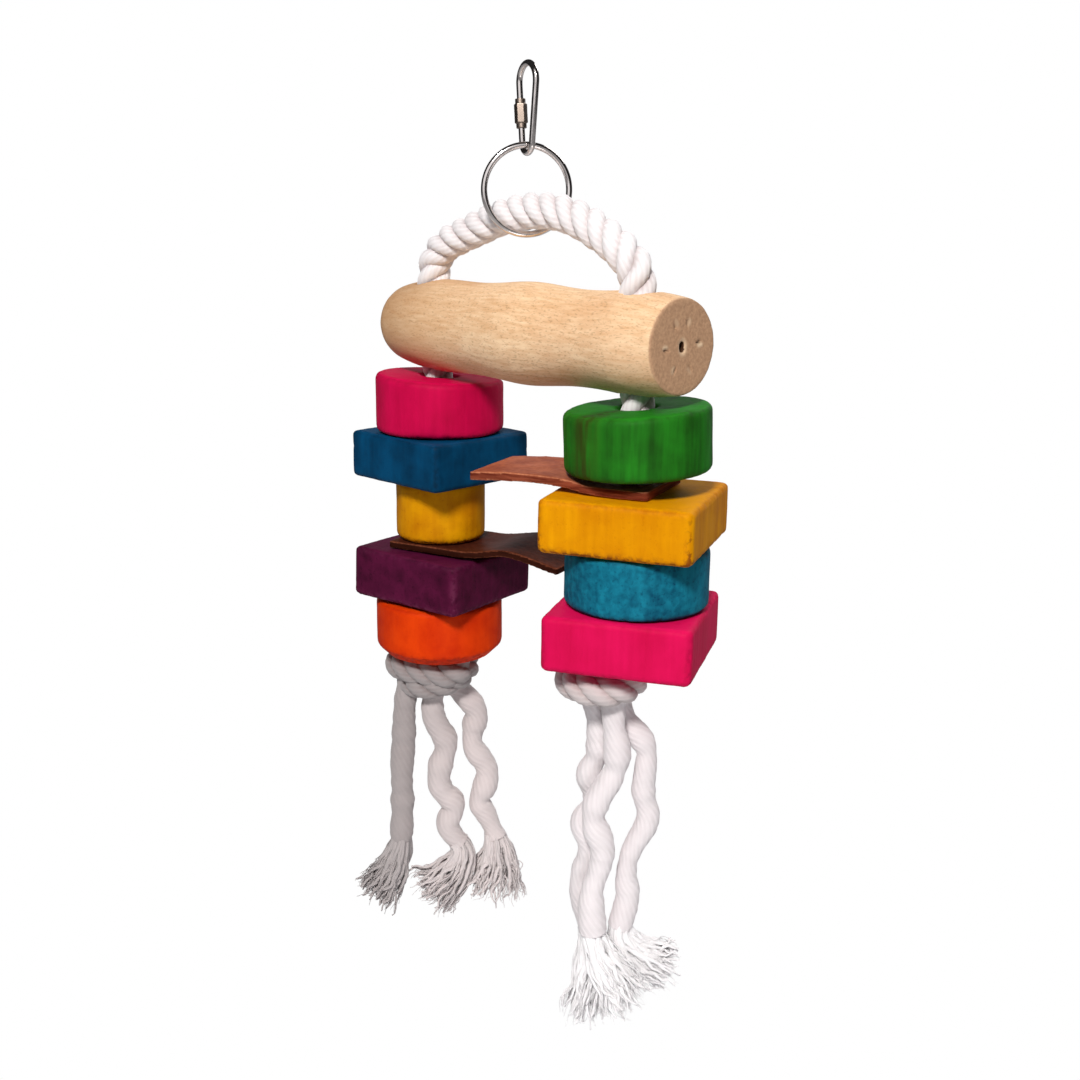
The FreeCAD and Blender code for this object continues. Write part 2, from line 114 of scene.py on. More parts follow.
def facing(tree, way, side):
    """How far a direction looks towards a side, from -1 to 1."""
    return put(tree, "ShaderNodeVectorMath", {0: way, 1: side}, operation="DOT_PRODUCT").outputs["Value"]


def axis_part(tree, arrow, axis):
    """One of the three parts of a vector."""
    return put(tree, "ShaderNodeSeparateXYZ", {0: arrow}).outputs[axis]


def vector(tree, x, y, z=0.0):
    """A vector from its three parts."""
    return put(tree, "ShaderNodeCombineXYZ", {0: x, 1: y, 2: z}).outputs[0]


def noise_at(tree, place, scale, detail, distortion=0.0):
    """Smooth noise from 0 to 1 at a place."""
    values = {"Vector": place, "Scale": scale, "Detail": detail, "Distortion": distortion}
    return put(tree, "ShaderNodeTexNoise", values).outputs[0]


def new_finish(name, roughness, specular=0.5):
    """A material with its node tree and its surface shader."""
    material = bpy.data.materials.new(name)
    material.use_nodes = True
    surface = material.node_tree.nodes["Principled BSDF"]
    surface.inputs["Roughness"].default_value = roughness
    surface.inputs["Specular IOR Level"].default_value = specular
    return material, material.node_tree, surface


def colour_mix(tree, factor, first, second):
    """A blend of two colours."""
    node = put(tree, "ShaderNodeMix", {0: factor}, data_type="RGBA")
    for index, colour in ((6, first), (7, second)):
        if isinstance(colour, bpy.types.NodeSocket):
            tree.links.new(colour, node.inputs[index])
        else:
            node.inputs[index].default_value = colour
    return node.outputs[2]


def bump(tree, surface, strength, distance, height):
    """Fine relief that the light shows on the surface."""
    relief = put(tree, "ShaderNodeBump", {"Strength": strength, "Distance": distance, "Height": height})
    tree.links.new(relief.outputs[0], surface.inputs["Normal"])


def object_place(tree):
    """Where a point is on the object, for a finish that stays with it."""
    return put(tree, "ShaderNodeTexCoord").outputs["Object"]


def named(tree, name):
    """A value that was stored on the points."""
    return put(tree, "ShaderNodeAttribute", attribute_name=name).outputs["Fac"]


def chart(red, green, blue):
    """A paint colour, each part from 0 to 255, as the renderer's linear colour."""
    return tuple([((part / 255 + 0.055) / 1.055) ** 2.4 if part > 10 else part / 255 / 12.92
                  for part in (red, green, blue)] + [1])


def placed(name, data):
    """A new object in the scene, at its origin."""
    piece = bpy.data.objects.new(name, data)
    bpy.context.scene.collection.objects.link(piece)
    return piece


# %% [markdown]
# ## The camera
# It stands level with the rope's arch, between the front and the branch's sawn end, and looks down a
# little. A long lens far away would hide how the branch comes towards the viewer, so the distance matters
# as much as the angle: both were worked out from the way the blocks grow smaller from right to left.

# %% Camera
CAMERA_PLACE = Vector((359.7, -324.4, -44.6)) * MM
CAMERA_AZIMUTH = 47.25
CAMERA_PITCH = 14.47
CAMERA_ROLL = 0.6
CAMERA_LENS = 44.02

camera = placed("camera", bpy.data.cameras.new("camera"))
bpy.context.scene.camera = camera
turn = Euler((0, 0, math.radians(CAMERA_AZIMUTH))).to_matrix()
nod = Euler((math.radians(90 - CAMERA_PITCH), 0, 0)).to_matrix()
roll = Euler((0, 0, math.radians(CAMERA_ROLL))).to_matrix()
stance = turn @ nod @ roll
camera.matrix_world = Matrix.LocRotScale(CAMERA_PLACE, stance.to_quaternion(), None)
camera.data.lens = CAMERA_LENS
camera.data.clip_start = 0.01
print("camera looks along", stance @ Vector((0, 0, -1)))

# %% [markdown]
# ## Light
# One fairly small lamp stands high, a little to the left of the camera, so each corner throws a clear
# shadow straight down. A weak narrow lamp, low in front, lifts the tails on the right. A broad weak one
# stands behind and lifts the edges that look away. The room is pale above, and darker below and on the
# side where the photographer stands.
# Polished wire mirrors the room rather than the lamps: a white screen beside the camera draws a bright line
# down the middle of the wire, and the dark room on both sides draws the dark lines along its edges.

# %% Light, world and floor
FLOOR_Z = -1.0
FLOOR_REACH = 6
DARK_SIDE = (0.86, -0.48, -0.05)
SCREEN_SIDE = (0.52, -0.82, 0.24)
SKY_TINT = (0.96, 0.96, 1.0, 1)
WHITE = (1, 1, 1, 1)

# Each lamp: name, place, what it points at, width, power, tint and how wide it shines in degrees
LAMPS = [
    ("key", (0.644, -0.844, 0.698), (0.02, 0, -0.17), 0.24, 18.8, (1.0, 0.975, 0.955), 180),
    ("tail_fill", (0.50, -0.26, -0.56), (0.057, 0, -0.35), 0.30, 0.12, (1.0, 0.98, 1.0), 50),
    ("back_fill", (-0.05, 0.85, 0.60), (0, 0, -0.15), 0.50, 3.0, (1, 1, 1), 180)]

for name, place, target, width, power, tint, beam in LAMPS:
    lamp = bpy.data.lights.new(name, "AREA")
    lamp.shape = "DISK"
    lamp.size = width
    lamp.energy = power
    lamp.color = tint
    lamp.spread = math.radians(beam)
    stand = placed(name, lamp)
    stand.location = place
    stand.rotation_euler = (Vector(target) - Vector(place)).to_track_quat("-Z", "Y").to_euler()


def pale_where_seen(tree, shader, white_kind):
    """The shader as it is for light and shadow, but plain white to the camera."""
    path = put(tree, "ShaderNodeLightPath")
    seen = calc(tree, "MAXIMUM", path.outputs["Is Camera Ray"], path.outputs["Is Transmission Ray"])
    white = put(tree, white_kind, {"Color": WHITE, "Strength": 1.0})
    return put(tree, "ShaderNodeMixShader", {0: seen, 1: shader.outputs[0], 2: white.outputs[0]}).outputs[0]


world = bpy.data.worlds.new("studio")
bpy.context.scene.world = world
world.use_nodes = True
sky = world.node_tree
ambient = sky.nodes["Background"]
ambient.inputs["Color"].default_value = SKY_TINT
way = put(sky, "ShaderNodeTexCoord").outputs["Generated"]
from_above = between(sky, axis_part(sky, way, 2), -0.5, 0.9, 0.72, 2.0)
glow = times(sky, between(sky, facing(sky, way, DARK_SIDE), 0.10, 0.62, 0.22, 0.03), from_above)
mirrored = between(sky, calc(sky, "ABSOLUTE", facing(sky, way, SCREEN_SIDE)), 0.70, 0.90, 0.02, 1.0)
glossy = put(sky, "ShaderNodeLightPath").outputs["Is Glossy Ray"]
extra = times(sky, glossy, minus(sky, mirrored, glow))
sky.links.new(plus(sky, glow, extra), ambient.inputs["Strength"])
sky.links.new(pale_where_seen(sky, ambient, "ShaderNodeBackground"), sky.nodes["World Output"].inputs[0])

floor_mesh = bpy.data.meshes.new("floor")
corners = [(x * FLOOR_REACH, y * FLOOR_REACH, FLOOR_Z) for x, y in ((-1, -1), (1, -1), (1, 1), (-1, 1))]
floor_mesh.from_pydata(corners, [], [(0, 1, 2, 3)])
floor = placed("floor", floor_mesh)
floor_material, floor_tree, floor_shader = new_finish("pale_floor", 0.8)
floor_shader.inputs["Base Color"].default_value = (0.85, 0.85, 0.85, 1)
floor_tree.links.new(pale_where_seen(floor_tree, floor_shader, "ShaderNodeEmission"),
                     floor_tree.nodes["Material Output"].inputs[0])
floor_mesh.materials.append(floor_material)
bpy.context.scene.view_settings.view_transform = "Standard"

# %% [markdown]
# ## Growing a piece from a line
# A rope, an unlaid strand and a brush of loose fibres all follow a line. Each has its own Geometry Nodes
# tree with named sizes. The tree runs once on a curve, and its result is kept as a plain mesh, because
# an exported model can't carry instances or live modifiers.

# %% Trees and what grows from them
def new_tree(name, sizes):
    """An empty tree with named inputs. Returns it with the sockets of those inputs."""
    tree = bpy.data.node_groups.new(name, "GeometryNodeTree")
    tree.interface.new_socket("Line", in_out="INPUT", socket_type="NodeSocketGeometry")
    kinds = {float: "NodeSocketFloat", int: "NodeSocketInt"}
    for label, value in sizes.items():
        socket = tree.interface.new_socket(label, in_out="INPUT", socket_type=kinds[type(value)])
        socket.default_value = value
    tree.interface.new_socket("Finish", in_out="INPUT", socket_type="NodeSocketMaterial")
    tree.interface.new_socket("Piece", in_out="OUTPUT", socket_type="NodeSocketGeometry")
    return tree, tree.nodes.new("NodeGroupInput").outputs


def end_tree(tree, size, geometry):
    """Make the result real and smooth, give it its finish and send it out."""
    real = put(tree, "GeometryNodeRealizeInstances", {"Geometry": geometry})
    smooth = put(tree, "GeometryNodeSetShadeSmooth", {"Geometry": real.outputs[0]})
    done = put(tree, "GeometryNodeSetMaterial", {"Geometry": smooth.outputs[0], "Material": size["Finish"]})
    put(tree, "NodeGroupOutput", {0: done.outputs[0]})


def keep(tree, geometry, name, value, kind="FLOAT"):
    """Store a value on each point under a name, for a later step or for the finish."""
    kept = {"Geometry": geometry, "Name": name, "Value": value}
    return put(tree, "GeometryNodeStoreNamedAttribute", kept, data_type=kind, domain="POINT").outputs[0]


def stored(tree, name, kind="FLOAT"):
    """The value that was stored under the name."""
    return put(tree, "GeometryNodeInputNamedAttribute", {"Name": name}, data_type=kind).outputs[0]


def progress(tree, measure):
    """How far along its line a point is: Factor from 0 to 1, or Length in metres."""
    return put(tree, "GeometryNodeSplineParameter").outputs[measure]


def position(tree):
    return put(tree, "GeometryNodeInputPosition").outputs[0]


def even_steps(tree, size):
    """The tree's line, cut into even steps."""
    cut = {"Curve": size["Line"], "Length": size["Step"]}
    return put(tree, "GeometryNodeResampleCurve", cut, mode="LENGTH").outputs[0]


def outward(tree, angle):
    """The way straight out from the line, at an angle round it."""
    normal = put(tree, "GeometryNodeInputNormal").outputs[0]
    tangent = put(tree, "GeometryNodeInputTangent").outputs[0]
    side = aim(tree, "CROSS_PRODUCT", tangent, normal)
    return aim(tree, "ADD", stretch(tree, normal, calc(tree, "COSINE", angle)),
               stretch(tree, side, calc(tree, "SINE", angle)))


def unit_circle(tree, corners):
    """A circle of radius 1, as the outline of what is swept along a line."""
    return put(tree, "GeometryNodeCurvePrimitiveCircle", {"Resolution": corners, "Radius": 1.0}).outputs[0]


def twisted(tree, line, along, turn):
    """The line with its outline turned backwards, once round for each length of turn."""
    tilt = times(tree, over(tree, along, turn), -2 * math.pi)
    return put(tree, "GeometryNodeSetCurveTilt", {"Curve": line, "Tilt": tilt}).outputs[0]


def swept(tree, line, outline, radius):
    """A closed skin: the outline carried along the line at the given radius."""
    return put(tree, "GeometryNodeCurveToMesh", {
        "Curve": line, "Profile Curve": outline, "Scale": radius, "Fill Caps": True}).outputs[0]


def new_line(name, points, kind="NURBS", closed=False):
    """A curve along points in millimetres, rounded off (NURBS) or straight from point to point (POLY)."""
    data = bpy.data.curves.new(name, "CURVE")
    data.dimensions = "3D"
    data.resolution_u = 16
    spline = data.splines.new(kind)
    spline.points.add(len(points) - 1)
    for knot, point in zip(spline.points, points):
        knot.co = (*(Vector(point) * MM), 1)
    spline.order_u = 3
    spline.use_endpoint_u = kind == "NURBS"
    spline.use_cyclic_u = closed
    return placed(name, data)


def line_points(line):
    """The points that a curve runs through, in order."""
    graph = bpy.context.evaluated_depsgraph_get()
    mesh = bpy.data.meshes.new_from_object(line.evaluated_get(graph))
    points = [v.co.copy() for v in mesh.vertices]
    bpy.data.meshes.remove(mesh)
    return points


def tell_size(name, mesh):
    print(name, "triangles:", sum(len(p.vertices) - 2 for p in mesh.polygons))


def grown(name, line, tree, finish, sizes):
    """Run the tree on the line, keep the result as a mesh and remove the line."""
    modifier = line.modifiers.new("grow", "NODES")
    modifier.node_group = tree
    for item in tree.interface.items_tree:
        if item.name in sizes:
            modifier[item.identifier] = sizes[item.name]
        elif item.name == "Finish":
            modifier[item.identifier] = finish
    graph = bpy.context.evaluated_depsgraph_get()
    mesh = bpy.data.meshes.new_from_object(line.evaluated_get(graph), preserve_all_data_layers=True,
                                           depsgraph=graph)
    line.modifiers.remove(modifier)
    bpy.data.objects.remove(line)
    tell_size(name, mesh)
    return placed(name, mesh)


# %% [markdown]
# ## Undyed cotton
# Loose cotton yarn is not one white. The yarns that stand out are the brightest, the grooves between strands
# and yarns get a painted pink grey shade, and fine fibres lie along every yarn. The trees store how deep a
# point lies, how far along and how far round it is, so the finish can follow the yarn wherever it turns. Each
# knot, strand and brush also has a painted shade of its own, darkest on the left, and just below each knot
# the strands are painted grey as shadow, most on the left, under the orange disc.

# %% Cotton
FIBRE_LENGTH = 0.004
FIBRE_WIDTH = 0.00025
STRAND_ROUND = 0.02
# Painted shadow: the grey that the strands turn just below their knot.
PAINTED_KNOT_SHADOW = (0.10, 0.07, 0.065, 1)


def shaded(colour, share):
    """A darker shade of a colour."""
    return tuple(channel * share for channel in colour[:3]) + (1,)


def cotton(name, colours, shade=1.0, sheen=0.25, unshaded=1.0):
    """Cotton with painted shade in its grooves and over it all. The last argument is how much it is spared a
    painted shadow where its line starts.
    """
    material, tree, surface = new_finish(name, 0.9, 0.25)
    light, deep = [shaded(colour, shade) for colour in colours]
    surface.inputs["Sheen Weight"].default_value = sheen
    surface.inputs["Sheen Roughness"].default_value = 0.6
    across = times(tree, named(tree, "around"), STRAND_ROUND)
    place = vector(tree, over(tree, named(tree, "along"), FIBRE_LENGTH), over(tree, across, FIBRE_WIDTH),
                   named(tree, "strand"))
    fibre = noise_at(tree, place, 1.0, 3.0)
    # Painted groove shade: the stored depth darkens the cotton deep in the rope and between its yarns; the
    # noise is the cotton's own uneven tone.
    lift = plus(tree, named(tree, "depth"), sway(tree, noise_at(tree, object_place(tree), 90.0, 2.0), 0.5))
    lift = plus(tree, lift, sway(tree, fibre, 0.35))
    colour = colour_mix(tree, between(tree, lift, 0.1, 0.95), deep, light)
    # Painted shadow just below a knot, where a strand's line starts: the cotton turns grey.
    grey = between(tree, named(tree, "along"), 0.008, 0.055, 1.0 - unshaded, 0.0)
    tree.links.new(colour_mix(tree, grey, colour, PAINTED_KNOT_SHADOW), surface.inputs["Base Color"])
    bump(tree, surface, 0.5, 0.0003, fibre)
    return material


# %% [markdown]
# ## The laid rope
# Three strands wind round the rope's line as helices, once round every 24 mm, climbing to the right like
# the middle stroke of a Z. The yarns in each strand wind the other way, which is what keeps a rope from
# unrolling. The tree copies the line three times, pushes each copy out to its helix, and sweeps a ridged
# outline along it: one ridge for each yarn that shows.

# %% The rope's tree
ROPE_CORNERS = 54
BORES_START = -0.080
BORES_FULL = -0.100


def ridged_outline(tree, corners, ridges, depth):
    """A circle of radius 1 with shallow valleys between its ridges, as the outline of a strand."""
    share = progress(tree, "Factor")
    wave = calc(tree, "COSINE", times(tree, share, times(tree, ridges, 2 * math.pi)))
    height = times(tree, plus(tree, wave, 1.0), 0.5)
    shape = keep(tree, unit_circle(tree, corners), "around", share)
    shape = keep(tree, shape, "ridge", height)
    size = minus(tree, 1.0, times(tree, depth, minus(tree, 1.0, height)))
    place = stretch(tree, position(tree), size)
    return put(tree, "GeometryNodeSetPosition", {"Geometry": shape, "Position": place}).outputs[0]


def swelling(tree, along, rate, amount, shift):
    """1, a little more or a little less, changing slowly along the line."""
    cloud = noise_at(tree, vector(tree, times(tree, along, rate), shift), 1.0, 1.0)
    return plus(tree, 1.0, sway(tree, cloud, amount))


def rope_tree():
    """Strands wound round a line. Squeeze is the share that the rope loses in the bores of the blocks."""
    tree, size = new_tree("three_strand_rope", {
        "Diameter": 0.0125, "Lay length": 0.024, "Yarn turn": 0.026, "Yarns": 9, "Yarn depth": 0.034,
        "Orbit": 0.25, "Strand": 0.27, "Swell": 0.26, "Squeeze": 0.0, "Step": 0.0012})
    line = even_steps(tree, size)
    middle = position(tree)
    along = progress(tree, "Length")
    line = keep(tree, line, "middle", middle, "FLOAT_VECTOR")
    line = keep(tree, line, "along", along)
    in_bores = between(tree, axis_part(tree, middle, 2), BORES_FULL, BORES_START, 1.0, 0.0)
    line = keep(tree, line, "whole", minus(tree, 1.0, times(tree, size["Squeeze"], in_bores)))
    whole = stored(tree, "whole")
    copies = put(tree, "GeometryNodeDuplicateElements", {"Geometry": line, "Amount": 3}, domain="SPLINE")
    strand = copies.outputs["Duplicate Index"]
    copies = keep(tree, copies.outputs[0], "strand", strand)
    turns = plus(tree, over(tree, along, size["Lay length"]), over(tree, strand, 3.0))
    out = outward(tree, times(tree, turns, 2 * math.pi))
    orbit = times(tree, times(tree, size["Diameter"], size["Orbit"]), whole)
    wound = put(tree, "GeometryNodeSetPosition", {"Geometry": copies, "Offset": stretch(tree, out, orbit)})
    run = progress(tree, "Length")
    wound = twisted(tree, wound.outputs[0], run, size["Yarn turn"])
    fat = times(tree, times(tree, size["Diameter"], size["Strand"]),
                swelling(tree, run, 110.0, size["Swell"], times(tree, strand, 7.3)))
    outline = ridged_outline(tree, ROPE_CORNERS, size["Yarns"], size["Yarn depth"])
    body = swept(tree, wound, outline, times(tree, fat, whole))
    # Painted groove shade: depth is lower deep inside the rope and in the valleys between yarns, and there
    # the cotton takes its deep colour.
    ends = {0: position(tree), 1: stored(tree, "middle", "FLOAT_VECTOR")}
    away = put(tree, "ShaderNodeVectorMath", ends, operation="DISTANCE").outputs["Value"]
    share = over(tree, away, times(tree, size["Diameter"], 0.5))
    on_ridge = between(tree, stored(tree, "ridge"), 0.0, 1.0, 0.84, 1.0)
    end_tree(tree, size, keep(tree, body, "depth", times(tree, between(tree, share, 0.62, 0.98), on_ridge)))
    return tree


laid_rope = rope_tree()

# %% [markdown]
# ## The rope's route
# It starts at the left knot, goes straight up through the blocks and slantwise through the branch, over
# in an arch that hangs in the steel ring, and straight down again to the right knot. Below the branch the
# bores of the blocks squeeze it a little.

# %% The rope
# The rope's light colour, and the deep colour of its painted groove shade.
ROPE_COLOURS = ((0.90, 0.865, 0.87), (0.44, 0.34, 0.33))
ROPE_DIAMETER = 0.0125
BORE_SQUEEZE = 0.07
LEFT_STRING_X = -50.65
RIGHT_STRING_X = 57.05
LEFT_KNOT_TOP = -226.31
RIGHT_KNOT_TOP = -201.13
ROPE_ROUTE = [
    (LEFT_STRING_X, 0, LEFT_KNOT_TOP - 4), (LEFT_STRING_X, 0, -109.6), (-55.4, 0, -70.97), (-47.4, 0, -61.7),
    (-30.8, 0, -56.7), (-8.8, 0, -49.5), (15.2, 0, -47.9), (34.2, 0, -53.5), (50.7, 0, -62.5),
    (RIGHT_STRING_X, 0, -70.97), (RIGHT_STRING_X, 0, RIGHT_KNOT_TOP - 4)]

rope = grown("laid_rope", new_line("rope_line", ROPE_ROUTE), laid_rope, cotton("rope_cotton", ROPE_COLOURS),
             {"Diameter": ROPE_DIAMETER, "Squeeze": BORE_SQUEEZE})
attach(rope, "toy")
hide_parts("rope")

# %% [markdown]
# ## A knot at each end
# Each end is tied in an overhand knot, so the same tree runs along a route that crosses itself. Points of
# the tails are given the way they are seen: across, towards the viewer and down from the knot's top.

# %% The knots
TAIL_FACING = math.radians(CAMERA_AZIMUTH)
# The knots' light colour, and the deep colour of their painted groove shade.
KNOT_COLOURS = ((0.88, 0.79, 0.78), (0.44, 0.31, 0.29))
# Painted shade of each knot; the left knot hangs in the orange disc's shadow.
KNOT_PAINTED_SHADES = {"left_knot": 0.36, "right_knot": 0.68}
KNOT_SIZES = {"Diameter": 0.0112, "Lay length": 0.021, "Orbit": 0.22, "Strand": 0.30}
LEFT_KNOT_ROUTE = [
    (0, 0, -2), (1, 1, 4), (8, 6, 6.0), (6, 12, 7.0), (-5, 11.5, 6.5), (-16, 6, 6.5), (-19.5, -3, 6.5),
    (-10, -11, 7), (3, -11, 6), (11, -4, 6.5), (8, 6, 10), (0, 10.5, 12), (-9, 8.5, 13.5), (-14, 1, 13.5),
    (-8, -5, 12), (-3, -2, 15), (-2, 0, 19)]
RIGHT_KNOT_ROUTE = [
    (0, 0, -2), (1, 1, 4), (9, -3, 5.5), (12, -10, 5.5), (0, -13, 6), (-14, -9, 7), (-23, 0, 8),
    (-18, 10, 8.6), (-6, 12.5, 8.6), (0, 6, 7.6), (2, -4, 7), (-7, -9, 9), (-13, -6, 10.5), (-10, 1, 12),
    (-5, 0, 17)]


def tail_point(x, knot_top, side, front, drop):
    """A point of a tail, in millimetres."""
    cosine, sine = math.cos(TAIL_FACING), math.sin(TAIL_FACING)
    return (x + side * cosine + front * sine, side * sine - front * cosine, knot_top - drop)


for node, x, top, route in (("left_knot", LEFT_STRING_X, LEFT_KNOT_TOP, LEFT_KNOT_ROUTE),
                            ("right_knot", RIGHT_STRING_X, RIGHT_KNOT_TOP, RIGHT_KNOT_ROUTE)):
    line = new_line(node + "_line", [tail_point(x, top, *point) for point in route])
    finish = cotton(node + "_cotton", KNOT_COLOURS, KNOT_PAINTED_SHADES[node])
    tied = grown("tied_" + node, line, laid_rope, finish, KNOT_SIZES)
    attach(tied, "toy")
    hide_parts(node)

# %% [markdown]
# ## Unlaid strands
# Below each knot the rope is undone into its three strands. Each keeps some of the waves it had in the
# rope. Its yarns still wind slowly round it, it swells and thins a little, and it ends in a brush.

# %% The strand's tree
STRAND_CORNERS = 66


def strand_tree():
    """One strand, whose yarns wind slowly round it."""
    tree, size = new_tree("unlaid_strand", {
        "Diameter": 0.008, "Yarn turn": 0.05, "Yarns": 12, "Yarn depth": 0.035, "Swell": 0.75,
        "Step": 0.0009})
    line = even_steps(tree, size)
    along = progress(tree, "Length")
    line = keep(tree, line, "along", along)
    turned = twisted(tree, line, along, size["Yarn turn"])
    shift = axis_part(tree, stretch(tree, position(tree), 30.0), 0)
    fat = times(tree, times(tree, size["Diameter"], 0.54), swelling(tree, along, 95.0, size["Swell"], shift))
    outline = ridged_outline(tree, STRAND_CORNERS, size["Yarns"], size["Yarn depth"])
    body = swept(tree, turned, outline, fat)
    # Painted groove shade: the valleys between yarns get a lower depth and so a darker colour.
    depth = between(tree, stored(tree, "ridge"), 0.0, 1.0, 0.85, 1.0)
    end_tree(tree, size, keep(tree, body, "depth", depth))
    return tree


loose_strand = strand_tree()

# %% [markdown]
# ## Frayed ends
# At the end of a strand the yarns come apart into fibres. The tree copies the brush's middle line many
# times. Every copy starts inside the strand and fans out to its own place in the brush, wanders more the
# further it goes, stops at its own length and thins towards its tip. Some copies are whole yarns, most are
# fine fibres.

# %% The brush's tree
BRUSH_POINTS = 22
YARN_RADIUS = 0.00094
FIBRE_RADIUS = 0.00030


def fanned(tree, size, count, thickness, sides, wander, seed):
    """Copies of the line that fan out, wander and thin. Returns them as one mesh."""
    cut = {"Curve": size["Line"], "Count": BRUSH_POINTS}
    line = put(tree, "GeometryNodeResampleCurve", cut, mode="COUNT").outputs[0]
    line = keep(tree, line, "share", progress(tree, "Factor"))
    line = keep(tree, line, "along", progress(tree, "Length"))
    copies = put(tree, "GeometryNodeDuplicateElements", {"Geometry": line, "Amount": count}, domain="SPLINE")
    copies = keep(tree, copies.outputs[0], "copy", copies.outputs["Duplicate Index"])

    def chance(low, high, offset):
        """A number of its own for each copy."""
        draw = {2: low, 3: high, 7: stored(tree, "copy"), 8: seed + offset}
        return put(tree, "FunctionNodeRandomValue", draw, data_type="FLOAT").outputs[1]

    share = stored(tree, "share")
    angle = chance(0.0, 2 * math.pi, 1)
    reach = calc(tree, "POWER", chance(0.0, 1.0, 2), 0.55)
    widening = times(tree, calc(tree, "POWER", share, chance(0.9, 1.9, 3)), 0.5)
    width = plus(tree, times(tree, size["Start width"], 0.44),
                 times(tree, minus(tree, size["End width"], size["Start width"]), widening))
    fan = stretch(tree, outward(tree, angle), times(tree, reach, width))
    place = vector(tree, times(tree, share, 3.2), chance(0.0, 40.0, 4), chance(0.0, 40.0, 5))
    noise = put(tree, "ShaderNodeTexNoise", {"Vector": place, "Scale": 1.0, "Detail": 1.5}).outputs["Color"]
    stray = stretch(tree, aim(tree, "SUBTRACT", noise, (0.5, 0.5, 0.5)),
                    times(tree, times(tree, share, size["Wander"]), wander))
    moved = put(tree, "GeometryNodeSetPosition", {"Geometry": copies, "Offset": aim(tree, "ADD", fan, stray)})
    trimmed = put(tree, "GeometryNodeTrimCurve", {"Curve": moved.outputs[0], 3: chance(0.84, 1.0, 6)})
    thinning = times(tree, calc(tree, "POWER", progress(tree, "Factor"), 3.0), 0.65)
    fat = times(tree, times(tree, thickness, chance(0.7, 1.25, 7)), minus(tree, 1.0, thinning))
    outline = keep(tree, unit_circle(tree, sides), "around", progress(tree, "Factor"))
    body = swept(tree, trimmed.outputs[0], outline, fat)
    # Painted shade inside the brush: fibres that stay near its middle get a lower depth and so a darker
    # colour.
    return keep(tree, body, "depth", between(tree, reach, 0.0, 1.0, 0.6, 1.0))


def brush_tree():
    """Whole yarns with fine fibres among them."""
    tree, size = new_tree("frayed_brush", {
        "Start width": 0.008, "End width": 0.02, "Wander": 0.017, "Yarns": 90, "Fibres": 150})
    yarns = fanned(tree, size, size["Yarns"], YARN_RADIUS, sides=5, wander=0.9, seed=3)
    fibres = fanned(tree, size, size["Fibres"], FIBRE_RADIUS, sides=3, wander=1.0, seed=31)
    both = put(tree, "GeometryNodeJoinGeometry")
    tree.links.new(yarns, both.inputs[0])
    tree.links.new(fibres, both.inputs[0])
    end_tree(tree, size, both.outputs[0])
    return tree


frayed_brush = brush_tree()

# %% The strands' routes
# Each tail: its route, the tip of its brush and how wide the brush is
LEFT_TAILS = {
    "a": ([(-13.6, 2.5, 8.5), (-15.9, 2.5, 23.5), (-16.3, 1.2, 39), (-17.6, 2.3, 54.5), (-17.2, 1, 70.5),
           (-18.2, 2, 86)], (-29.5, 3, 112), 20),
    "b": ([(-2.8, 3.2, 12.5), (-4.4, 3.6, 22.5), (-3.2, 2.4, 32), (2.6, 1.6, 41), (-1.6, 2.6, 52.5),
           (-1.8, 1.8, 62.5), (6.2, 1, 70), (-0.4, 1.8, 80.5), (7.4, 1, 88)], (-7, 4, 112), 24),
    "c": ([(0.4, -2, 12.5), (8.4, -2.6, 20.5), (15, -2.6, 28.5), (12.6, -3.2, 36.5), (12, -2.2, 45),
           (19.2, -3, 54), (18.2, -2, 62.5), (14.2, -2.8, 70), (19.2, -3.6, 78), (22.4, -3, 87)],
          (20.5, -4.5, 112), 29)}
RIGHT_TAILS = {
    "a": ([(-6.4, 4.6, 12.3), (-6.2, 5, 23.3), (-4.2, 4.6, 32.8), (-4.6, 4.2, 42.3), (-11.8, 4.8, 53.6),
           (-12.8, 4.4, 62), (-8.2, 4.8, 71.3), (-9.8, 4.2, 81.3), (-13.4, 4.8, 91), (-11.6, 4.4, 105.8)],
          (4, 7, 134), 21),
    "b": ([(-14.2, -3.6, 12.3), (-11.6, -4.2, 24), (-9.6, -3.8, 37), (-15.4, -4.4, 47.5), (-10.2, -4, 56.8),
           (-17.8, -4.6, 66.5), (-11.2, -4.2, 77), (-18.6, -4.6, 89.4), (-13, -4.2, 104.8)],
          (-13.6, -5, 148), 17),
    "c": ([(-4.4, -5.4, 12.3), (-2.4, -4.8, 25), (7.2, -4.2, 35), (6.6, -3.6, 44.8), (5.8, -4.4, 54.8),
           (9.4, -3.8, 64.3), (1.8, -3.4, 76.8), (0.4, -4.2, 88.3), (2.2, -3.8, 96.8), (-1.4, -3.2, 108.3)],
          (19, -4.6, 126.3), 18)}

# %% Strands and brushes
BRUSH_START = 0.0084
BRUSH_LOOSENESS = 1.15

# Each side: light and deep colour of its strands, the same of its brushes, and the brushes' sheen
# The deep colours are painted shade, and the left side is painted darker and warmer, as shade under its
# blocks.
SIDE_COLOURS = {
    "left": (((0.83, 0.74, 0.73), (0.58, 0.48, 0.47)), ((0.86, 0.78, 0.77), (0.68, 0.60, 0.58)), 0.4),
    "right": (((0.83, 0.78, 0.79), (0.58, 0.51, 0.51)), ((1.0, 0.98, 0.99), (0.97, 0.94, 0.95)), 1.0)}

# Each strand: its painted shade, how much of the painted shadow below the knot it is spared, and its width in
# metres
STRANDS = {
    "left_strand_a": (0.45, 0.92, 0.0088), "left_strand_b": (0.77, 0.74, 0.0092),
    "left_strand_c": (0.82, 0.78, 0.0089), "right_strand_a": (0.98, 0.95, 0.0085),
    "right_strand_b": (0.96, 0.95, 0.0082), "right_strand_c": (0.95, 0.95, 0.0077)}

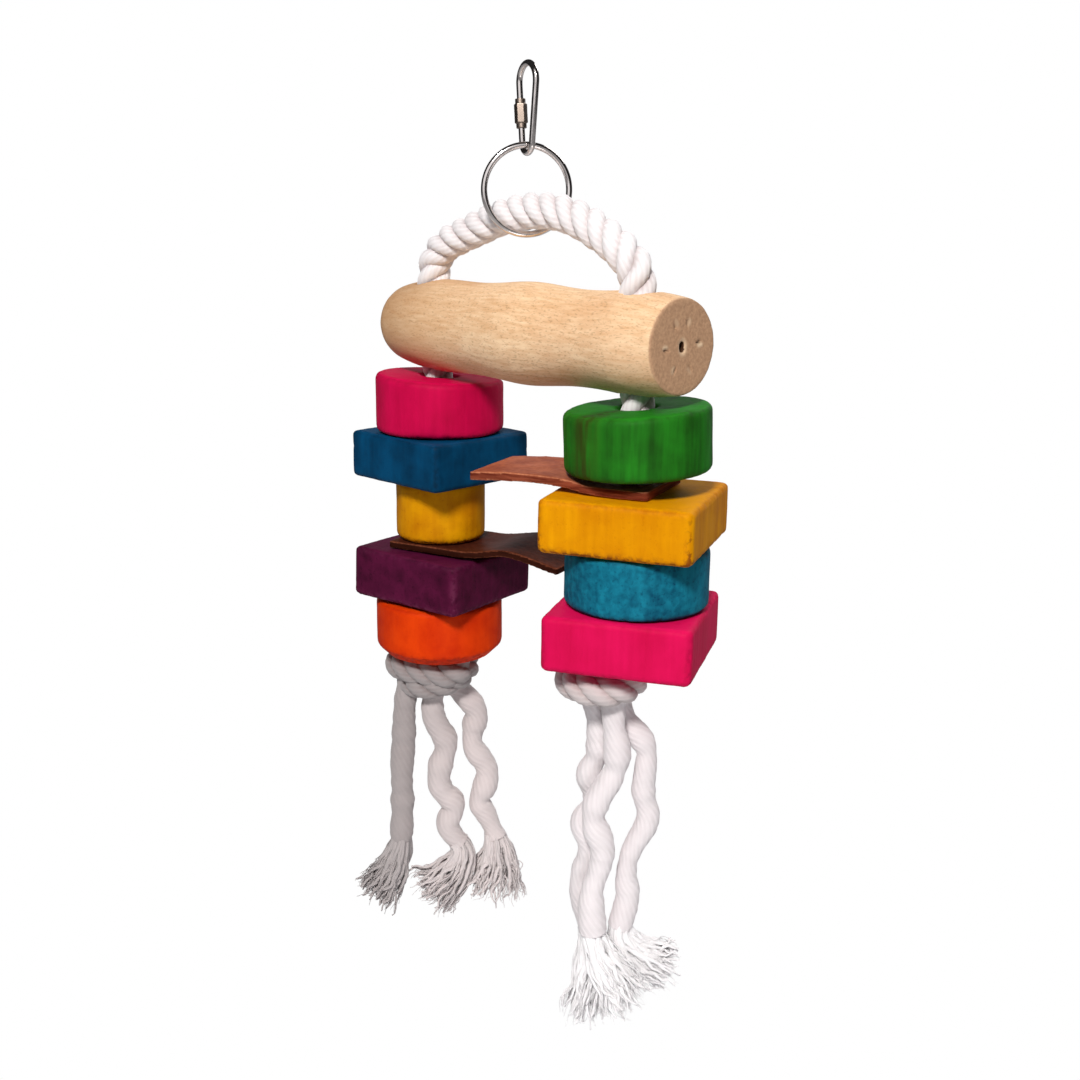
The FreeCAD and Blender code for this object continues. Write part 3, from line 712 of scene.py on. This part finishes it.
for side, x, top, tails in (("left", LEFT_STRING_X, LEFT_KNOT_TOP, LEFT_TAILS),
                            ("right", RIGHT_STRING_X, RIGHT_KNOT_TOP, RIGHT_TAILS)):
    strand_colours, brush_colours, sheen = SIDE_COLOURS[side]
    for letter, (route, tip, brush_width) in tails.items():
        node = f"{side}_strand_{letter}"
        shade, unshaded, width = STRANDS[node]
        points = [tail_point(x, top, *point) for point in route]
        line = new_line(node + "_line", points)
        path = [tuple(point) for point in line_points(line)]
        finish = cotton(node + "_cotton", strand_colours, shade, unshaded=unshaded)
        strand = grown("loose_" + node, line, loose_strand, finish, {"Diameter": width})
        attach(strand, "toy")
        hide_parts(node)
        end, near = Vector(points[-1]), Vector(points[-2])
        ahead = (end - near).normalized()
        bends = [end - ahead * 2.5, end + ahead * 10, Vector(tail_point(x, top, *tip))]
        # The brush takes most of its strand's painted shade.
        finish = cotton(f"brush_{side}_{letter}_cotton", brush_colours, 0.1 + 0.9 * shade, sheen)
        brush = grown(f"brush_{side}_{letter}", new_line(node + "_brush_line", bends), frayed_brush, finish,
                      {"Start width": BRUSH_START, "End width": brush_width * MM * BRUSH_LOOSENESS})
        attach(brush, "toy")
        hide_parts(node.replace("strand", "fray"))

# %% [markdown]
# ## Bright wire
# The link and the ring are one gauge of wire, swept along their own lines so that their highlights run
# clean. The tree for wire only sweeps a round outline, but its line can close on itself, which a ring
# needs. The sleeve nut is a small turned part, so its plain solid is copied, rebuilt with an even skin and
# very slightly rounded.

# %% Metal finish
def steel(name, tint, roughness):
    """Plated steel, a little cloudy."""
    material, tree, surface = new_finish(name, roughness)
    surface.inputs["Metallic"].default_value = 1.0
    spot = object_place(tree)
    haze = noise_at(tree, spot, 260.0, 1.0)
    colour = colour_mix(tree, between(tree, haze, 0.35, 0.6), shaded(tint, 0.80), tint)
    tree.links.new(colour, surface.inputs["Base Color"])
    tree.links.new(between(tree, haze, 0.3, 0.7, roughness + 0.06, roughness), surface.inputs["Roughness"])
    bump(tree, surface, 0.02, 0.0001, noise_at(tree, spot, 900.0, 3.0))
    return material


bright_nickel = steel("bright_nickel", (0.80, 0.74, 0.70, 1), 0.10)
satin_nickel = steel("satin_nickel", (0.25, 0.20, 0.165, 1), 0.38)

# %% The ring and the link
WIRE = 2.3
WIRE_CORNERS = 28
RING_WIDTH = 32.95
RING_Z = -41.475
RING_TURN = math.radians(58)
RING_STEPS = 120
LINK_WIDTH = 14.6
LINK_FOOT_WIDTH = 9.6
LINK_LENGTH = 32.2
LINK_TURN = math.radians(-14)
BOW_STEPS = 40
GAP_START = 6.6
GAP_END = 9.5


def wire_tree():
    """Round wire, swept along a line that may be closed."""
    tree, size = new_tree("bent_wire", {"Wire": 0.0023})
    radius = times(tree, size["Wire"], 0.5)
    end_tree(tree, size, swept(tree, size["Line"], unit_circle(tree, WIRE_CORNERS), radius))
    return tree


def bow(z, radius, start, end):
    """Points round a bow of the link, from one angle to another, in its own plane."""
    angles = [start + (end - start) * step / BOW_STEPS for step in range(BOW_STEPS + 1)]
    return [(radius * math.cos(angle), z + radius * math.sin(angle)) for angle in angles]


bent_wire = wire_tree()
ring_radius = (RING_WIDTH - WIRE) / 2
ring_points = []
for step in range(RING_STEPS):
    angle = step / RING_STEPS * 2 * math.pi
    out = ring_radius * math.cos(angle)
    ring_points.append((out * math.cos(RING_TURN), out * math.sin(RING_TURN),
                        RING_Z + ring_radius * math.sin(angle)))
ring = grown("bright_ring", new_line("ring_line", ring_points, "POLY", closed=True), bent_wire, bright_nickel,
             {"Wire": WIRE * MM})
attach(ring, "ring")
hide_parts("steel_ring")

top_radius, foot_radius = (LINK_WIDTH - WIRE) / 2, (LINK_FOOT_WIDTH - WIRE) / 2
top_z = WIRE / 2 - top_radius
foot_z = 1.5 * WIRE - LINK_LENGTH + foot_radius
lean = math.asin((top_radius - foot_radius) / (top_z - foot_z))
flat_points = bow(top_z, top_radius, math.pi + lean, -lean) + bow(foot_z, foot_radius, -lean, -math.pi + lean)
leg_foot, leg_top = Vector(flat_points[-1]), Vector(flat_points[0])
leg = (leg_top - leg_foot).normalized()
flat_points = [leg_foot + leg * GAP_END] + flat_points + [leg_foot + leg * GAP_START]
link_points = [(p[0] * math.cos(LINK_TURN), p[0] * math.sin(LINK_TURN), p[1]) for p in flat_points]
link = grown("bright_link", new_line("link_line", link_points, "POLY"), bent_wire, bright_nickel,
             {"Wire": WIRE * MM})
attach(link, "link")
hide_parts("quick_link")

# %% [markdown]
# ## Solids with an even skin
# A solid from construction has long thin triangles, which can't be dented or worn. A copy is rebuilt from
# small even squares, its edges soften a little on the way, and a few values are stored on every point:
# how near an edge it is and which way its face looks. Wear only ever takes material away.

# %% Rebuild and wear
SLEEVE_SQUARE = 0.00014
BLOCK_SQUARE = 0.0009
BRANCH_SQUARE = 0.00055
STRIP_SQUARE = 0.0006
WELD_REACH = 0.00002


def rebuilt(node, name, square, rounds=2):
    """A copy of the node's solid with an even skin of small squares."""
    piece = placed(name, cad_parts[node].data.copy())
    weld = piece.modifiers.new("weld", "WELD")
    weld.merge_threshold = WELD_REACH
    skin = piece.modifiers.new("skin", "REMESH")
    skin.mode = "VOXEL"
    skin.voxel_size = square
    skin.use_smooth_shade = True
    smooth = piece.modifiers.new("smooth", "SMOOTH")
    smooth.factor = 0.5
    smooth.iterations = rounds
    graph = bpy.context.evaluated_depsgraph_get()
    piece.data = bpy.data.meshes.new_from_object(piece.evaluated_get(graph))
    piece.modifiers.clear()
    tell_size(name, piece.data)
    return piece


def points_and_normals(mesh):
    """The mesh's points and their normals as two arrays."""
    places, normals = np.empty(len(mesh.vertices) * 3), np.empty(len(mesh.vertices) * 3)
    mesh.vertices.foreach_get("co", places)
    mesh.vertices.foreach_get("normal", normals)
    return places.reshape(-1, 3), normals.reshape(-1, 3)


def cloud(places, scale, seed, squeeze=(1, 1, 1)):
    """Smooth noise from -1 to 1 at each place. A squeeze below 1 draws it out along that axis."""
    wide, deep, high = squeeze
    return np.array([perlin.noise(Vector((x * scale * wide + seed, y * scale * deep, z * scale * high)))
                     for x, y, z in places])


def wear_away(piece, places, normals, depth):
    """Move every point inwards by its depth in millimetres."""
    places -= normals * (depth * MM)[:, None]
    piece.data.vertices.foreach_set("co", places.ravel())
    piece.data.update()


def store(mesh, name, values):
    """Keep a value on each point for the finish to read."""
    layer = mesh.attributes.new(name, "FLOAT", "POINT")
    layer.data.foreach_set("value", np.asarray(values, dtype=np.float32))


def dress(piece, node, body, material):
    """Give the piece its finish and let it stand in for the plain solid."""
    piece.data.materials.clear()
    piece.data.materials.append(material)
    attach(piece, body)
    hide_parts(node)


sleeve = rebuilt("link_sleeve", "satin_sleeve", SLEEVE_SQUARE, 1)
dress(sleeve, "link_sleeve", "sleeve", satin_nickel)

# %% [markdown]
# ## Dyed wood
# The blocks were sawn with the grain upright, then dipped in food dye. On the sides the dye shows fine
# upright streaks, the sawn faces are mottled, the faces that look up are painted lighter as a painted
# highlight from above, the edges are darker or worn, and low on the blocks, where they have knocked together,
# there are brown scuffs. The green disc has a brown stain. Every block has its own colour, seed and share of
# each.

# %% Dyed wood
def dyed_wood(name, bright, deep, scuffed, seed, streaks, blotches, specks, edge, scuffs, blotch_scale):
    """Dye on wood, from how strong each kind of mark is, with a painted highlight on faces that look up."""
    material, tree, surface = new_finish(name, 0.55, 0.05)
    spot = aim(tree, "ADD", object_place(tree), (seed, seed * 0.37, seed * 0.71))
    upright = aim(tree, "MULTIPLY", spot, (1.0, 1.0, 0.09))
    streak = noise_at(tree, upright, 420.0, 4.0)
    wide = noise_at(tree, upright, 95.0, 2.0)
    blotch = noise_at(tree, spot, blotch_scale, 4.0, 0.3)
    pit = noise_at(tree, spot, 900.0, 1.0)
    patch = noise_at(tree, spot, 520.0, 3.0)
    tone = plus(tree, 0.62, sway(tree, streak, streaks * 2.8))
    tone = plus(tree, tone, sway(tree, wide, streaks * 4.0))
    tone = plus(tree, tone, sway(tree, blotch, blotches * 4.0))
    tone = minus(tree, tone, times(tree, between(tree, pit, 0.62, 0.72), specks))
    tone = minus(tree, tone, times(tree, named(tree, "edge"), edge))
    # Painted highlight: faces that look up are lighter, for the light from above.
    tone = plus(tree, tone, times(tree, named(tree, "level"), 0.35))
    colour = colour_mix(tree, between(tree, tone, 0.0, 1.0), deep, bright)
    knocked = times(tree, named(tree, "rim"), between(tree, patch, 0.46, 0.57, 0.0, scuffs))
    stained = times(tree, named(tree, "stain"), between(tree, streak, 0.35, 0.60, 0.2, 0.85))
    colour = colour_mix(tree, calc(tree, "MAXIMUM", knocked, stained), colour, scuffed)
    tree.links.new(colour, surface.inputs["Base Color"])
    relief = plus(tree, times(tree, streak, 0.8), times(tree, blotch, 0.4))
    relief = minus(tree, relief, times(tree, between(tree, pit, 0.60, 0.72), specks))
    bump(tree, surface, 0.35, 0.0004, relief)
    return material


# %% [markdown]
# The colours are given as they would be picked from a paint chart, and turned into the renderer's own.

# %% Blocks
FACE_SOFTNESS = 0.3
STAIN_SIDE = -92

# Each block: node, body, slot, bright, deep and scuffed colour, then streaks, blotches, specks, edge wear,
# scuffs, the blotches' scale, shape and turn
BLOCKS = [
    ("left_pink_disc", "pink_disc", "crimson_wood", (208, 10, 76), (160, 4, 50), (110, 6, 40),
     (0.20, 0.25, 0.05, 0.25, 0.4, 75), "round", 0),
    ("left_blue_square", "blue_square", "navy_wood", (3, 68, 106), (2, 44, 72), (4, 26, 40),
     (0.25, 0.45, 0.10, 0.20, 0.4, 110), "square", 3.6),
    ("left_yellow_peg", "yellow_peg", "ochre_wood", (218, 150, 3), (176, 100, 2), (120, 66, 10),
     (0.22, 0.45, 0.20, 0.35, 0.9, 90), "round", 0),
    ("left_violet_square", "violet_square", "violet_wood", (84, 18, 52), (50, 8, 30), (118, 54, 84),
     (0.20, 0.45, 0.30, 0.10, 0.5, 150), "square", 12.8),
    ("left_orange_disc", "orange_disc", "orange_wood", (220, 62, 6), (186, 34, 2), (140, 30, 6),
     (0.12, 0.50, 0.10, 0.25, 0.5, 90), "round", 0),
    ("right_green_disc", "green_disc", "green_wood", (36, 124, 28), (24, 60, 15), (50, 50, 16),
     (0.42, 0.30, 0.05, -0.05, 0.3, 75), "round", 0),
    ("right_yellow_square", "yellow_square", "amber_wood", (226, 152, 2), (198, 118, 0), (140, 74, 14),
     (0.36, 0.34, 0.20, 0.30, 1.0, 90), "square", 27.1),
    ("right_teal_disc", "teal_disc", "teal_wood", (22, 122, 146), (6, 66, 92), (8, 50, 60),
     (0.25, 0.42, 0.30, 0.10, 0.3, 420), "round", 0),
    ("right_pink_square", "pink_square", "pink_wood", (222, 17, 86), (192, 8, 63), (150, 10, 50),
     (0.22, 0.26, 0.05, 0.00, 0.4, 75), "square", 29.9)]


def spread(mesh, values, rounds):
    """Values that fade out from each point over its neighbours."""
    ends = np.empty(len(mesh.edges) * 2, dtype=np.int64)
    mesh.edges.foreach_get("vertices", ends)
    first, second = ends.reshape(-1, 2).T
    points = len(mesh.vertices)
    links = np.maximum(np.bincount(first, minlength=points) + np.bincount(second, minlength=points), 1)
    for _ in range(rounds):
        total = np.bincount(first, values[second], points) + np.bincount(second, values[first], points)
        values = np.maximum(values * 0.97, total / links)
    return values


def face_squareness(normals, shape, turn):
    """1 where a point looks squarely out of a face, less where it is on an edge."""
    if shape == "round":
        return np.maximum(np.hypot(normals[:, 0], normals[:, 1]), np.abs(normals[:, 2]))
    cosine, sine = math.cos(math.radians(turn)), math.sin(math.radians(turn))
    across = np.abs(normals[:, 0] * cosine + normals[:, 1] * sine)
    deepwards = np.abs(normals[:, 1] * cosine - normals[:, 0] * sine)
    return np.maximum(np.maximum(across, deepwards), np.abs(normals[:, 2]))


for number, (node, body, slot_name, *colours, shares, shape, angle) in enumerate(BLOCKS):
    colours = [chart(*colour) for colour in colours]
    material = dyed_wood(node + "_dye", *colours, number * 3.1, *shares)
    block = rebuilt(node, "worn_" + node, BLOCK_SQUARE)
    places, normals = points_and_normals(block.data)
    corner = np.clip((1 - face_squareness(normals, shape, angle)) / FACE_SOFTNESS, 0, 1)
    rough = cloud(places, 900, number * 5.3, (1, 1, 0.12)) * 0.05 + cloud(places, 120, number * 7.7) * 0.12
    nicks = np.clip(cloud(places, 330, number * 2.9) * 1.6 - 0.25, 0, 1) * corner * 0.7
    wear_away(block, places, normals, np.clip(0.06 + rough, 0, 1) + nicks + corner * 0.10)
    height = (places[:, 2] - places[:, 2].min()) / np.ptp(places[:, 2])
    knocks = np.clip(spread(block.data, corner, 3) * 1.7, 0, 1)
    side = np.degrees(np.arctan2(places[:, 1], places[:, 0] - places[:, 0].mean()))
    stained = float(node == "right_green_disc")
    store(block.data, "edge", corner)
    # How far a face looks up, for the painted highlight on top faces.
    store(block.data, "level", np.clip((normals[:, 2] - 0.8) / 0.15, 0, 1))
    store(block.data, "rim", knocks * np.clip(1.2 - height, 0.2, 1))
    store(block.data, "stain", np.clip(1.4 - np.abs(side - STAIN_SIDE) / 13, 0, 1) * stained)
    dress(block, node, body, material)

# %% [markdown]
# ## The branch
# It is peeled, sanded and left bare: pale, with short dark flecks along the grain and a few long shallow
# flutes. Its far end is darker and more orange, partly painted shade and partly its own tone. Its sawn end is
# greyer and rougher, with the pith in the middle and small checks round it, both painted dark as shade, and a
# painted highlight round the pith and beside each check.

# %% Bare wood
def bare_wood(name):
    """Peeled wood with flecks along the grain and a darker far end, and its sawn end with painted shade and
    highlights.
    """
    material, tree, surface = new_finish(name, 0.6, 0.25)
    spot = object_place(tree)
    along = aim(tree, "MULTIPLY", spot, (0.16, 1.0, 1.0))
    grain = noise_at(tree, along, 800.0, 4.0)
    band = noise_at(tree, along, 90.0, 2.0)
    fleck = noise_at(tree, aim(tree, "MULTIPLY", spot, (0.34, 1.0, 1.0)), 2100.0, 1.0)
    blush = noise_at(tree, spot, 28.0, 3.0)
    rings = noise_at(tree, spot, 950.0, 4.0)
    tone = plus(tree, times(tree, grain, 0.6), times(tree, band, 0.4))
    colour = colour_mix(tree, between(tree, tone, 0.34, 0.66), chart(222, 176, 130), chart(248, 216, 176))
    colour = colour_mix(tree, between(tree, blush, 0.45, 0.70, 0.0, 0.5), colour, chart(222, 168, 122))
    colour = colour_mix(tree, between(tree, fleck, 0.56, 0.70, 0.0, 0.40), colour, chart(164, 116, 76))
    # Partly painted shade, partly its own tone: the far end of the branch is darker and more orange.
    far_end_shade_and_tone = between(tree, axis_part(tree, spot, 0), -0.075, -0.010, 0.75, 0.0)
    colour = colour_mix(tree, far_end_shade_and_tone, colour, chart(172, 124, 80))
    end = named(tree, "sawn")
    sawn = colour_mix(tree, between(tree, rings, 0.35, 0.65), chart(176, 137, 106), chart(196, 156, 122))
    # Painted highlight round the pith and beside each check, and painted shade in the pith and the checks.
    sawn = colour_mix(tree, named(tree, "crumb"), sawn, chart(232, 206, 172))
    sawn = colour_mix(tree, named(tree, "hollow"), sawn, chart(70, 44, 26))
    tree.links.new(colour_mix(tree, end, colour, sawn), surface.inputs["Base Color"])
    relief = plus(tree, grain, times(tree, rings, end))
    relief = minus(tree, relief, between(tree, fleck, 0.60, 0.70, 0.0, 0.8))
    bump(tree, surface, 0.3, 0.0003, relief)
    return material


# %% The branch
BRANCH_X = 3.2
BRANCH_Z = -91.68
BRANCH_TILT = math.radians(1)
SAWN_FACE = 71.9
CORE_START = 60
CORE_END = 72.1
PITH_RADIUS = 3
CORE_RADIUS = 11

# The small splits round the pith: how far round each is, in degrees, and how deep
SPLITS = ((8, 1.0), (75, 0.5), (118, 0.35), (185, 0.9), (245, 0.6), (300, 0.35))

branch = rebuilt("wood_perch", "peeled_branch", BRANCH_SQUARE, 1)
places, normals = points_and_normals(branch.data)
x, z = places[:, 0] - BRANCH_X * MM, places[:, 2] - BRANCH_Z * MM
along = x * math.cos(BRANCH_TILT) + z * math.sin(BRANCH_TILT)
up = z * math.cos(BRANCH_TILT) - x * math.sin(BRANCH_TILT)
middle = np.hypot(places[:, 1], up)
sawn = np.clip((along - SAWN_FACE * MM) / (0.4 * MM), 0, 1)
slit = np.zeros(len(places))
# Painted highlight: a pale patch round the pith, and on the lit side of each check.
crumb = np.clip(1.5 - np.hypot(places[:, 1] / (1.7 * MM), up / (2.4 * MM)), 0, 0.5)
for turn, depth in SPLITS:
    cosine, sine = math.cos(math.radians(turn)), math.sin(math.radians(turn))
    out, aside = places[:, 1] * cosine + up * sine, places[:, 1] * sine - up * cosine
    near = np.hypot(aside / (0.45 * MM), (out - 8 * MM) / (1.3 * MM))
    slit = np.maximum(slit, np.clip(2.0 - 1.6 * near, 0, 1) * depth)
    lit_side = np.hypot((aside - 0.9 * MM) / (0.7 * MM), (out - 8.4 * MM) / (1.1 * MM))
    crumb = np.maximum(crumb, np.clip(1.6 - lit_side, 0, 0.7) * depth)
slit *= sawn
core = (along > CORE_START * MM) & (along < CORE_END * MM)
pith = core & (middle < PITH_RADIUS * MM)
end_grain = np.maximum(sawn, core & (middle < CORE_RADIUS * MM))
flutes = cloud(places, 60, 3.0, (0.25, 1, 1)) * 0.30 + cloud(places, 260, 9.0, (0.12, 1, 1)) * 0.10
saw_marks = np.clip(0.10 + cloud(places, 500, 6.0) * 0.10 + slit * 0.7, 0, 1)
wear_away(branch, places, normals, np.clip(0.25 + flutes, 0, 1) * (1 - end_grain) + saw_marks * sawn)
store(branch.data, "sawn", end_grain)
# The painted highlight, and the painted shade in the pith and the checks, for the finish.
store(branch.data, "crumb", crumb)
store(branch.data, "hollow", np.maximum(pith, slit * 0.8))
dress(branch, "wood_perch", "toy", bare_wood("bare_branch"))

# %% [markdown]
# ## Leather strips
# Both are vegetable-tanned sole bends: a tan one and a dark one. The grain side is fine and slightly
# glossy. The cut edges are darker and matt, in fine level layers, and a pale line is rubbed along each ridge.

# %% Leather
def leather(name, grain_light, grain_deep, cut, pale, seed):
    """Tanned hide with its cut edges."""
    material, tree, surface = new_finish(name, 0.5, 0.04)
    spot = aim(tree, "ADD", object_place(tree), (seed, 0, 0))
    pore = put(tree, "ShaderNodeTexVoronoi", {"Vector": spot, "Scale": 900.0}).outputs["Distance"]
    cloudy = noise_at(tree, spot, 90.0, 4.0)
    fine = noise_at(tree, spot, 600.0, 3.0)
    fibre = noise_at(tree, aim(tree, "MULTIPLY", spot, (0.12, 0.12, 1)), 900.0, 3.0)
    tone = plus(tree, times(tree, cloudy, 0.6), times(tree, fine, 0.4))
    colour = colour_mix(tree, between(tree, tone, 0.38, 0.62), grain_deep, grain_light)
    edge_colour = colour_mix(tree, between(tree, fibre, 0.35, 0.65), cut, grain_deep)
    colour = colour_mix(tree, named(tree, "cut"), colour, edge_colour)
    rubbed = times(tree, named(tree, "ridge"), between(tree, fine, 0.35, 0.6, 0.3, 0.85))
    tree.links.new(colour_mix(tree, rubbed, colour, pale), surface.inputs["Base Color"])
    tree.links.new(between(tree, named(tree, "cut"), 0, 1, 0.5, 0.85), surface.inputs["Roughness"])
    bump(tree, surface, 0.3, 0.0003, plus(tree, times(tree, pore, 0.5), times(tree, fine, 0.5)))
    return material


# Each strip: node, slot, light and deep grain, cut edge and rubbed ridge, and its seed
STRIPS = [
    ("upper_leather_strip", "tan_leather", (178, 102, 70), (142, 72, 50), (96, 38, 24), (214, 142, 104), 2.0),
    ("lower_leather_strip", "brown_leather", (80, 36, 22), (54, 22, 13), (44, 17, 9), (140, 80, 56), 5.0)]

for node, slot_name, *colours, seed in STRIPS:
    hide = rebuilt(node, "cut_" + node, STRIP_SQUARE)
    places, normals = points_and_normals(hide.data)
    flat = np.abs(normals[:, 2])
    worn = np.clip(0.10 + cloud(places, 140, seed) * 0.12 + cloud(places, 600, seed + 4) * 0.05, 0, 1)
    wear_away(hide, places, normals, worn)
    store(hide.data, "cut", np.clip((0.75 - flat) / 0.3, 0, 1))
    store(hide.data, "ridge", np.clip(1 - np.abs(flat - 0.72) / 0.28, 0, 1))
    dress(hide, node, node, leather(node + "_hide", *[chart(*colour) for colour in colours], seed))
